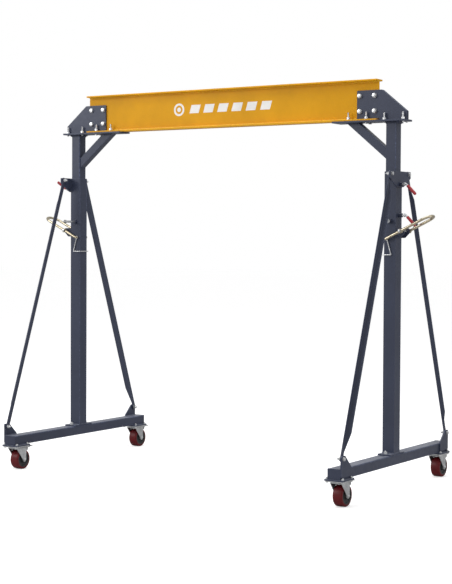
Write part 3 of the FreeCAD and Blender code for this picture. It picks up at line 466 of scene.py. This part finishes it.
def refine(node, look, edge=0.0008, long_axis=None, long_round=0.0, inner_round=0.0,
           plates=None, plate_max=0.0125):
    """Copy of a CAD node with rounded edges: long tube corners, plate corners and the rest."""
    bm = clean_copy(node)
    weights = bm.edges.layers.float.new("bevel_weight_edge")
    plates = plates or {}
    widest = max(edge, long_round, inner_round, *plates.values())
    for face in bm.faces:
        face.smooth = True
    for item in bm.edges:
        if len(item.link_faces) != 2:
            continue
        angle = item.calc_face_angle(0.0)
        if angle < 0.5:
            continue
        a, b = item.verts
        span = b.co - a.co
        length = span.length
        if length < 1e-6:
            continue
        main = max(range(3), key=lambda k: abs(span[k]))
        straight = abs(span[main]) > 0.999 * length
        axis = "xyz"[main] if straight else ""
        convex = item.is_convex
        width = 0.0
        if axis == long_axis and length > 0.15 and angle > 1.2:
            width = long_round if convex else inner_round
        elif (axis in plates and 0.003 < length < plate_max and convex
              and min(f.calc_area() for f in item.link_faces) > 2.05 * plates[axis] * length):
            width = plates[axis]
        elif convex and length > 0.0045 and angle > 0.7:
            width = edge
        if width:
            item[weights] = width / widest
        elif angle > 0.62:
            item.smooth = False
    mesh = bpy.data.meshes.new(node + "_detail")
    bm.to_mesh(mesh)
    bm.free()
    body = frame["nodes"][node]["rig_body"]
    obj = add_piece(node + "_detail", mesh, body, LOOKS[look], [node])
    round_off = obj.modifiers.new("rounding", "BEVEL")
    round_off.limit_method = "WEIGHT"
    round_off.width = widest
    round_off.segments = 3
    # bevel faces take the second look of the pair; on painted parts that is the lighter edge
    # paint, wear plus painted highlight
    round_off.material = 1
    round_off.use_clamp_overlap = True
    round_off.miter_outer = "MITER_SHARP"
    normals = obj.modifiers.new("normals", "WEIGHTED_NORMAL")
    normals.keep_sharp = True
    normals.weight = 60
    return obj


# ------------------------------------------------------------- refined copies of nodes
for side, sign in SIDES.items():
    refine(side + "_base_beam", "frame_paint", long_axis="y", long_round=0.006)
    refine(side + "_base_plates", "frame_paint", plates={"z": 0.010, "x": 0.008, "y": 0.006})
    refine(side + "_outer_column", "frame_paint", long_axis="z", long_round=0.006,
           plates={"z": 0.008})
    refine(side + "_column_wings", "frame_paint", plates={"x": 0.008})
    refine(side + "_near_brace", "frame_paint", edge=0.0010, plates={"x": 0.010})
    refine(side + "_far_brace", "frame_paint", edge=0.0010, plates={"x": 0.010})
    refine(side + "_column_brackets", "frame_paint", plates={"y": 0.006})
    refine(side + "_inner_column", "frame_paint", long_axis="z", long_round=0.006)
    refine(side + "_head_plate", "frame_paint", plates={"z": 0.006})
    refine(side + "_gussets", "frame_paint", plates={"y": 0.008})
    refine(side + "_knee_brace", "frame_paint", edge=0.0035)
    refine(side + "_lever", "yellow_zinc", edge=0.0008)
    refine(side + "_link", "zinc", edge=0.0004)
    refine(side + "_cross_pin", "zinc" if sign < 0 else "zinc_grey", edge=0.0006)
    refine(side + "_caster_tops", "zinc_sheet", edge=0.0005,
           plates={"z": 0.012}, plate_max=0.0065)
    for tag in TAGS:
        part = "%s_%s_" % (side, tag)
        refine(part + "fork", "zinc_sheet", edge=0.0008, plates={"x": 0.006},
               plate_max=0.0045)
        refine(part + "brake_pedal", "zinc_sheet", edge=0.0008)
refine("beam", "beam_paint", edge=0.0008, long_axis="x", long_round=0.0018, inner_round=0.007)
for pin in ("left_upper", "right_upper", "right_lower"):
    refine(pin + "_lock_pin", "zinc", edge=0.0006)
    refine(pin + "_pin_grip", "grip_red", edge=0.0010)


# -------------------------------------------------------------------------- fasteners
def middle(low, high):
    return (low + high) / 2


# thread diameter, width across flats and washer diameter of each bolt size
M10, M10_FLATS, M10_WASHER = 0.010, 0.015, 0.01725
M12, M12_FLATS, M12_WASHER = 0.012, 0.019, 0.0218
M16, M16_FLATS, M16_WASHER = 0.016, 0.024, 0.0276
PIVOT_FLATS = 0.016
SHORT_BOLT = 0.040       # bolts of the casters are shorter than this, foot studs longer
SPACER_BOLT = 0.0475     # brace bolts longer than this carry a spacer
FLANGE_STUD = 0.0265     # head studs that reach through the flange have a nut below


def fasteners(node):
    """Threaded, chamfered bolts in place of the plain ones of a node."""
    solid = Solid()
    for low, high in islands(node):
        extent = high - low
        axis = "xyz"[max(range(3), key=lambda k: extent[k])]
        centre = middle(low, high)
        outward = 1 if centre.x > 0 else -1
        if axis == "z":
            place = along_axis("z", (centre.x, centre.y, low.z))
            top = extent.z
        if axis == "z" and node == "beam_bolts":
            seat = top - 0.042
            if seat > FLANGE_STUD:
                solid.nut(place, 0.0, 0.0075, M12_FLATS)
            solid.rod(place, 0.0, seat + 0.014, M12)
            solid.washer(place, seat, seat + 0.0025, 0.022)
            solid.nut(place, seat + 0.0025, seat + 0.0135, M12_FLATS)
            solid.thread(place, seat + 0.012, top, M12)
        elif axis == "z" and top < SHORT_BOLT:
            solid.nut(place, 0.0, 0.005, M10_FLATS)
            solid.washer(place, 0.005, 0.006, M10_WASHER)
            solid.rod(place, 0.005, 0.024, M10)
            solid.washer(place, 0.020, 0.021, M10_WASHER)
            solid.nut(place, 0.021, 0.028, M10_FLATS)
            solid.thread(place, 0.027, top, M10, 0.0015)
        elif axis == "z":
            solid.rod(place, 0.0, 0.036, M12)
            solid.nut(place, 0.002, 0.012, M12_FLATS)
            solid.washer(place, 0.024, 0.026, 0.024)
            solid.nut(place, 0.026, 0.037, M12_FLATS)
            solid.thread(place, 0.035, top, M12)
        elif axis == "x":
            head = high.x if outward > 0 else low.x
            place = along_axis("x", (head, centre.y, centre.z), -outward)
            length = extent.x
            solid.nut(place, 0.0, 0.008, M12_FLATS)
            solid.washer(place, 0.008, 0.010, M12_WASHER)
            solid.rod(place, 0.008, length - 0.012, M12)
            if length > SPACER_BOLT:
                solid.rod(place, 0.018, 0.0205, 0.024, 0.0002)
            solid.washer(place, length - 0.024, length - 0.022, M12_WASHER)
            solid.nut(place, length - 0.022, length - 0.012, M12_FLATS)
            solid.thread(place, length - 0.0135, length, M12)
        elif node == "beam_bolts":
            place = along_axis("y", (centre.x, low.y, centre.z))
            length = extent.y
            solid.nut(place, 0.0, 0.010, M16_FLATS)
            solid.washer(place, 0.010, 0.012, M16_WASHER)
            solid.rod(place, 0.009, length - 0.007, M16)
            solid.washer(place, length - 0.021, length - 0.019, M16_WASHER)
            solid.nut(place, length - 0.019, length - 0.006, M16_FLATS)
            solid.thread(place, length - 0.0075, length, M16, 0.002)
        else:
            place = along_axis("y", (centre.x, low.y, centre.z))
            length = extent.y
            solid.nut(place, 0.0, 0.006, PIVOT_FLATS)
            solid.rod(place, 0.005, length - 0.001, M10)
            solid.nut(place, length - 0.008, length, PIVOT_FLATS)
    add_piece(node + "_detail", solid.mesh(node + "_detail"), frame["nodes"][node]["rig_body"],
              [zinc], [node])


fasteners("beam_bolts")
for side in SIDES:
    fasteners(side + "_frame_bolts")


# ---------------------------------------------------------------------------- casters
def arc(centre, radius, start, end, steps):
    """Points of an arc in the (along, radius) plane; angles in degrees."""
    points = []
    for i in range(steps + 1):
        a = math.radians(start + (end - start) * i / steps)
        points.append((centre[0] + radius * math.cos(a), centre[1] + radius * math.sin(a)))
    return points


for side in SIDES:
    for tag in TAGS:
        part = "%s_%s_" % (side, tag)
        low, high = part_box(part + "tread")
        hub = middle(low, high)
        outer = (high.z - low.z) / 2
        half = (high.x - low.x) / 2
        place = along_axis("x", hub)
        core = outer - TREAD_DEPTH
        curve = 0.0075
        tyre = Solid()
        shoulder_left = arc((-half + curve, outer - curve - 0.0006), curve, 180, 96, 7)
        crown = [(0.0, outer)]
        shoulder_right = [(-a, r) for a, r in reversed(shoulder_left)]
        profile = [(-half, core)] + shoulder_left + crown + shoulder_right + [(half, core)]
        tyre.turned(place, profile, 96, caps=False, loop=True)
        add_piece(part + "tread_detail", tyre.mesh(part + "tread_detail", 0.9), part + "wheel",
                  [tread_red], [part + "tread"])

        wheel = Solid()
        face = [
            (half + 0.003, 0.0068), (half + 0.003, 0.0150), (half + 0.0022, 0.0168),
            (half - 0.004, 0.0185), (half - 0.0085, 0.0215), (half - 0.0090, 0.0240),
            (half - 0.0090, 0.0330), (half - 0.0078, 0.0345), (half - 0.0078, 0.0385),
            (half - 0.0020, 0.0412), (half - 0.0006, 0.0424), (half - 0.0002, 0.0440),
            (half - 0.0002, core - 0.0002)]
        back = [(-a, r) for a, r in reversed(face)]
        wheel.turned(place, face + back, 72, caps=False, loop=True)
        add_piece(part + "core_detail", wheel.mesh(part + "core_detail", 0.7), part + "wheel",
                  [core_black], [part + "wheel_core"])

        bearing = Solid()
        for way in WAYS:
            spot = along_axis("x", hub, way)
            bearing.turned(spot, [
                (half + 0.0026, 0.0072), (half + 0.0034, 0.0078), (half + 0.0034, 0.0096),
                (half + 0.0024, 0.0100), (half + 0.0024, 0.0118), (half + 0.0034, 0.0122),
                (half + 0.0034, 0.0140), (half + 0.0026, 0.0146)], 48, caps=False)
        add_piece(part + "bearing", bearing.mesh(part + "bearing"), part + "wheel", [zinc])

        low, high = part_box(part + "axle")
        spot = along_axis("x", (low.x, hub.y, hub.z))
        length = high.x - low.x
        axle = Solid()
        axle.nut(spot, 0.0, 0.007, 0.018)
        axle.rod(spot, 0.006, length - 0.003, 0.012)
        axle.nut(spot, length - 0.012, length - 0.004, 0.018)
        axle.thread(spot, length - 0.006, length, 0.012)
        add_piece(part + "axle_detail", axle.mesh(part + "axle_detail"), part + "swivel",
                  [zinc], [part + "axle"])

        crown_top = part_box(part + "fork")[1].z
        swivel_y = hub.y - CASTER_TRAIL
        seat = along_axis("z", (hub.x, swivel_y, crown_top))
        race = Solid()
        race.turned(seat, [
            (-0.0035, 0.0300), (-0.0035, 0.0385), (-0.0010, 0.0388), (-0.0002, 0.0380),
            (-0.0001, 0.0300)], 56, caps=False, loop=True)
        nipple = along_axis("y", (hub.x, swivel_y - 0.036, crown_top - 0.010), -1)
        race.turned(nipple, [(0.0, 0.0030), (0.002, 0.0030), (0.003, 0.0020), (0.0048, 0.0017),
                             (0.0056, 0.0022), (0.0066, 0.0015)], 16)
        add_piece(part + "race_detail", race.mesh(part + "race_detail"), part + "swivel",
                  [zinc])


# -------------------------------------------------------------------------- weld beads
def loop_xy(x0, x1, y0, y1, z):
    return [(x0, y0, z), (x1, y0, z), (x1, y1, z), (x0, y1, z)]


LUG_LOW, LUG_HIGH = 1.478, 1.532
LUG_FACES = (0.028, 0.034)
CASTER_PAD_Y = 0.622
CASTER_PAD_HALF = 0.068
CAP_HALF = 0.038
BRACE_LUG_LENGTH = 0.106
KNEE_WALL_CUT = 0.0647
KNEE_TOP_CUT = 0.0787
GUSSET_FACES = (0.0125, 0.0035)
GUSSET_WELD_HALF = 0.088

for side, sign in SIDES.items():
    frame_welds = Solid()
    top_welds = Solid()
    low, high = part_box(side + "_inner_column")
    cx = middle(low, high).x
    half_in = (high.x - low.x) / 2
    col_top = high.z
    base_low, base_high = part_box(side + "_base_beam")
    foot_top = base_high.z + 0.008
    outer_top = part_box(side + "_outer_column")[1].z
    frame_welds.bead(
        loop_xy(cx - COLUMN_HALF, cx + COLUMN_HALF, COLUMN_Y - COLUMN_HALF,
                COLUMN_Y + COLUMN_HALF, foot_top), 0.0040, True)
    wing_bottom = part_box(side + "_column_wings")[0].z
    face = cx + COLUMN_HALF * sign
    for way in WAYS:
        y = COLUMN_Y + way * (COLUMN_HALF - 0.001)
        frame_welds.bead([(face, y, wing_bottom), (face, y, outer_top - 0.004)], 0.0034)
    frame_welds.bead(
        [(face, COLUMN_Y - COLUMN_HALF, wing_bottom),
         (face, COLUMN_Y + COLUMN_HALF, wing_bottom)], 0.0036)
    for way in WAYS:
        # lever lugs
        for y in (COLUMN_Y + way * offset for offset in LUG_FACES):
            frame_welds.bead([(face, y, LUG_LOW), (face, y, LUG_HIGH)], 0.0026)
        # caster pads under the base tube
        pad_y = COLUMN_Y + way * CASTER_PAD_Y
        for edge_x in (cx - BASE_HALF, cx + BASE_HALF):
            end = base_high.y if way > 0 else base_low.y
            inner = pad_y - way * CASTER_PAD_HALF
            frame_welds.bead([(edge_x, inner, base_low.z), (edge_x, end, base_low.z)], 0.0036)
        # end caps
        cap = base_high.y if way > 0 else base_low.y
        frame_welds.bead(
            [(cx - CAP_HALF, cap, base_low.z + 0.002), (cx + CAP_HALF, cap, base_low.z + 0.002),
             (cx + CAP_HALF, cap, base_high.z - 0.002),
             (cx - CAP_HALF, cap, base_high.z - 0.002)], 0.0030, True)
        # brace lugs on the outer side of the base tube
        out = cx + BASE_HALF * sign
        frame_welds.bead(
            [(out, cap - way * BRACE_LUG_LENGTH, base_high.z - 0.001),
             (out, cap, base_high.z - 0.001)], 0.0034)
    add_piece(side + "_frame_welds", frame_welds.mesh(side + "_frame_welds", 1.2),
              side + "_frame", [frame_paint])

    top_welds.bead(
        loop_xy(cx - half_in, cx + half_in, COLUMN_Y - half_in, COLUMN_Y + half_in, col_top),
        0.0038, True)
    knee_low, knee_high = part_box(side + "_knee_brace")
    wall = cx - half_in * sign
    slot_top = knee_low.z + KNEE_WALL_CUT
    for way in WAYS:
        y = COLUMN_Y + way * KNEE_HALF
        top_welds.bead([(wall, y, knee_low.z), (wall, y, slot_top)], 0.0032)
    top_welds.bead(
        [(wall, COLUMN_Y - KNEE_HALF, knee_low.z), (wall, COLUMN_Y + KNEE_HALF, knee_low.z)],
        0.0032)
    near_end = knee_low.x if sign > 0 else knee_high.x
    reach = near_end + KNEE_TOP_CUT * sign
    for x in (near_end, reach):
        top_welds.bead(
            [(x, COLUMN_Y - KNEE_HALF, knee_high.z), (x, COLUMN_Y + KNEE_HALF, knee_high.z)],
            0.0032)
    for way in WAYS:
        top_welds.bead(
            [(near_end, COLUMN_Y + way * KNEE_HALF, knee_high.z),
             (reach, COLUMN_Y + way * KNEE_HALF, knee_high.z)], 0.0032)
    head_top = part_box(side + "_head_plate")[1].z
    for way in WAYS:
        for y in (COLUMN_Y + way * offset for offset in GUSSET_FACES):
            outer_x = cx + GUSSET_WELD_HALF * sign
            inner_x = cx - GUSSET_WELD_HALF * sign
            top_welds.bead([(inner_x, y, head_top), (outer_x, y, head_top)], 0.0028)
    add_piece(side + "_top_welds", top_welds.mesh(side + "_top_welds", 1.2),
              "top_frame", [frame_paint])


# --------------------------------------------------------------------- marking on web
MARK_DEPTH = 0.0003
WEB_FACE = COLUMN_Y - 0.0035
MARK_Z = 2.283
RING_X = -0.350
BARS = 6
BAR_PITCH = 0.105
BAR_WIDTH = 0.070
BAR_LEAN = 0.016
BAR_HALF = 0.026


def flat_mark(solid, outline, y):
    start = len(solid.points)
    count = len(outline)
    for level in (y, y - MARK_DEPTH):
        solid.points.extend(Vector((x, level, z)) for x, z in outline)
    solid.faces.append(tuple(start + count + i for i in range(count)))
    for i in range(count):
        j = (i + 1) % count
        solid.faces.append((start + i, start + j, start + count + j, start + count + i))


def ring_outline(x, z, radius, count):
    return [(x + radius * math.cos(2 * math.pi * i / count),
             z + radius * math.sin(2 * math.pi * i / count)) for i in range(count)]


def flat_ring(solid, x, z, outer, inner, y):
    start = len(solid.points)
    count = 48
    for radius in (outer, inner):
        for level in (y, y - MARK_DEPTH):
            solid.points.extend(
                Vector((u, level, v)) for u, v in ring_outline(x, z, radius, count))
    for i in range(count):
        j = (i + 1) % count
        a, b, c, d = (start + count * k for k in range(4))
        solid.faces.append((b + i, b + j, d + j, d + i))
        solid.faces.append((a + i, a + j, b + j, b + i))
        solid.faces.append((c + i, d + i, d + j, c + j))


# plain generic decal: a ring with a dot, then a row of slanted bars
mark = Solid()
flat_ring(mark, RING_X, MARK_Z, 0.040, 0.027, WEB_FACE)
flat_mark(mark, ring_outline(RING_X, MARK_Z, 0.014, 32), WEB_FACE)
for i in range(BARS):
    x = -0.270 + BAR_PITCH * i
    flat_mark(mark, [(x, MARK_Z - BAR_HALF), (x + BAR_WIDTH, MARK_Z - BAR_HALF),
                     (x + BAR_WIDTH + BAR_LEAN, MARK_Z + BAR_HALF),
                     (x + BAR_LEAN, MARK_Z + BAR_HALF)], WEB_FACE)
add_piece("web_mark", mark.mesh("web_mark"), "top_frame", [white_mark])

# -------------------------------------------------------------------- stage and camera
def plain(name, seen, lit, glow):
    """Pale floor that looks white but throws little light back on the object."""
    look = Look(name, specular=0.2)
    look.shader.inputs["Roughness"].default_value = 0.7
    path = look.tree.nodes.new("ShaderNodeLightPath").outputs["Is Camera Ray"]
    tone = look.ramp(look.noise(0.8, 3.0), [(0.3, shade(seen, 0.985)), (0.7, seen)])
    look.colour(look.mix(path, lit, tone))
    look.shader.inputs["Emission Color"].default_value = (1.0, 1.0, 1.0, 1.0)
    look.tree.links.new(look.times(path, glow), look.shader.inputs["Emission Strength"])
    return look.mat


FLOOR_RADIUS = 60
floor_mesh = bpy.data.meshes.new("floor")
rim = [(FLOOR_RADIUS * math.cos(math.radians(a)), FLOOR_RADIUS * math.sin(math.radians(a)), 0.0)
       for a in range(0, 360, 6)]
floor_mesh.from_pydata(rim, [], [tuple(range(len(rim)))])
floor_mesh.materials.append(plain("floor_pale", (0.90, 0.90, 0.90), (0.55, 0.55, 0.55), 0.5))
floor = bpy.data.objects.new("floor", floor_mesh)
bpy.context.scene.collection.objects.link(floor)

# the surroundings look white but light the object at about half that strength
world = bpy.data.worlds.new("studio")
world.use_nodes = True
sky = world.node_tree
sky.nodes["Background"].inputs["Color"].default_value = (1.0, 1.0, 1.0, 1.0)
sky_path = sky.nodes.new("ShaderNodeLightPath").outputs["Is Camera Ray"]
sky_level = sky.nodes.new("ShaderNodeMapRange")
sky_level.inputs["To Min"].default_value = 0.55
sky_level.inputs["To Max"].default_value = 1.0
sky.links.new(sky_path, sky_level.inputs["Value"])
sky.links.new(sky_level.outputs["Result"], sky.nodes["Background"].inputs["Strength"])
bpy.context.scene.world = world


def soft_light(name, spot, target, width, height, power):
    data = bpy.data.lights.new(name, "AREA")
    data.shape = "RECTANGLE"
    data.size = width
    data.size_y = height
    data.energy = power
    light = bpy.data.objects.new(name, data)
    light.location = spot
    light.rotation_euler = (Vector(target) - Vector(spot)).to_track_quat("-Z", "Y").to_euler()
    bpy.context.scene.collection.objects.link(light)


soft_light("key", (-5.0, -5.8, 4.4), (0, 0, 1.4), 4.0, 3.0, 240)
soft_light("top", (0.5, -0.5, 5.6), (0, 0, 1.2), 5.0, 4.0, 130)
soft_light("side", (6.5, 1.0, 3.2), (0.8, 0, 1.3), 3.0, 3.0, 40)

# the camera stands to the front right, about as high as the levers
CAMERA_SPOT = (5.0246, -7.6713, 1.4704)
yaw = math.radians(32.92)
pitch = math.radians(-1.86)
roll = math.radians(0.29)
ahead = Vector(
    (-math.sin(yaw) * math.cos(pitch), math.cos(yaw) * math.cos(pitch), math.sin(pitch)))
right = Vector((math.cos(yaw), math.sin(yaw), 0.0))
up = right.cross(ahead)
right_rolled = right * math.cos(roll) + up * math.sin(roll)
up_rolled = up * math.cos(roll) - right * math.sin(roll)
lens = bpy.data.cameras.new("view")
lens.lens = 90.46
lens.sensor_width = 36.0
lens.sensor_fit = "AUTO"
lens.shift_x = -0.0150
lens.shift_y = -0.0103
lens.clip_end = 200.0
camera = bpy.data.objects.new("view", lens)
axes = Matrix((right_rolled, up_rolled, -ahead)).transposed().to_4x4()
camera.matrix_world = Matrix.Translation(Vector(CAMERA_SPOT)) @ axes
bpy.context.scene.collection.objects.link(camera)
bpy.context.scene.camera = camera
bpy.context.scene.view_settings.view_transform = "Standard"
